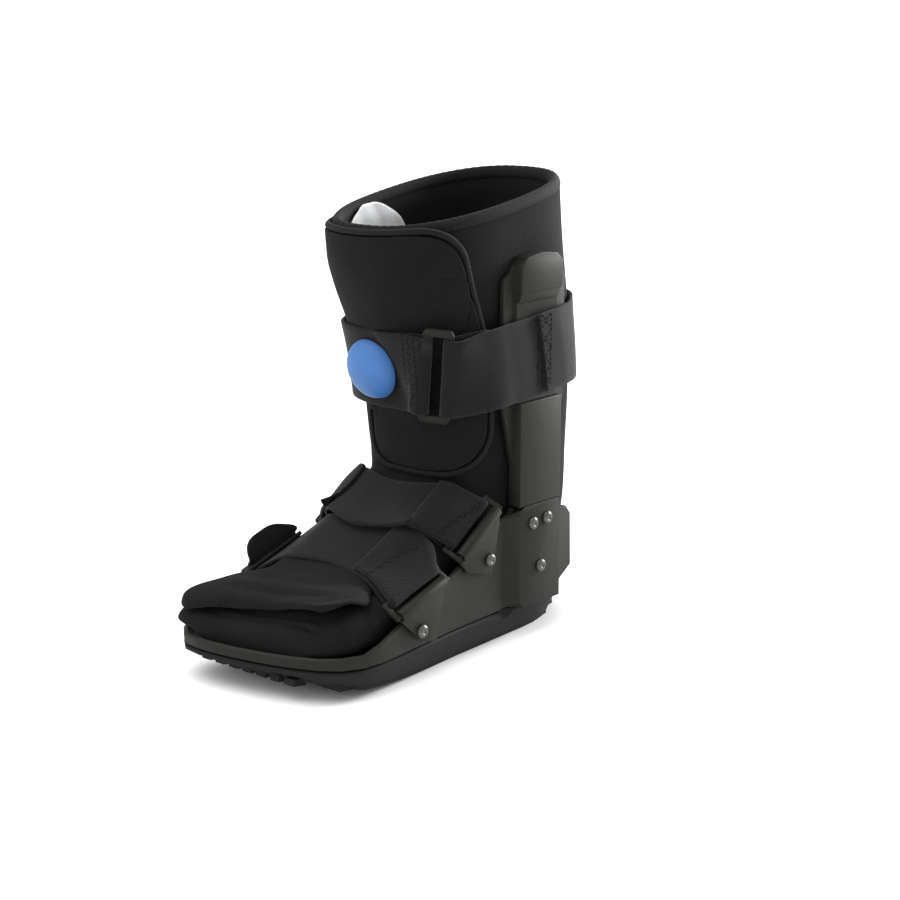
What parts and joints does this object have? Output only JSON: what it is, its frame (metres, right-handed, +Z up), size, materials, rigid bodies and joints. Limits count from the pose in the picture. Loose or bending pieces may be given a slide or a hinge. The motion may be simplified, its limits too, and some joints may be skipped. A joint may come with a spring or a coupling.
{
  "type": "walking boot",
  "caption": "Short medical walking boot: padded open-topped liner in a rigid tray with side struts, rocker sole, front flap, webbing straps and a pump bulb.",
  "frame": {"origin": "on the flat ground face of the sole, in its middle plane, in front of the struts", "axes": "+Z up the leg, -Y towards the toes, +X towards the wearer's left, which is the side of the calf buckle"},
  "size_m": [0.1414, 0.2842, 0.3008],
  "materials": {
    "rubber": "matte moulded rubber",
    "plastic": "matte moulded plastic with a fine grain",
    "padding": "brushed loop fabric over foam",
    "trim": "woven binding tape",
    "webbing": "brushed loop webbing",
    "bulb": "soft moulded rubber",
    "label": "smooth woven label, blank",
    "metal": "domed rivet heads"
  },
  "bodies": {
    "root": {"outsole": "rubber", "base_shell": "plastic", "strut_left": "plastic", "strut_right": "plastic", "liner": "padding", "toe_flap": "padding", "shin_flap": "padding", "collar_binding": "trim", "flap_binding": "trim", "inner_label": "label", "strap_tab_front_left": "plastic", "strap_tab_front_right": "plastic", "ring_front_left": "plastic", "ring_front_right": "plastic", "strap_tab_rear_left": "plastic", "strap_tab_rear_right": "plastic", "ring_rear_left": "plastic", "ring_rear_right": "plastic", "forefoot_strap": "webbing", "instep_strap": "webbing", "calf_strap_front": "webbing", "calf_strap_wrap": "webbing", "calf_buckle": "plastic", "pump_bulb": "bulb", "ear_rivet_front_left": "metal", "ear_rivet_front_right": "metal", "ear_rivet_rear_left": "metal", "ear_rivet_rear_right": "metal", "ear_rivet_low_left": "metal", "ear_rivet_low_right": "metal", "tab_rivet_front_left": "metal", "tab_rivet_front_right": "metal", "tab_rivet_rear_left": "metal", "tab_rivet_rear_right": "metal"}
  },
  "joints": []
}
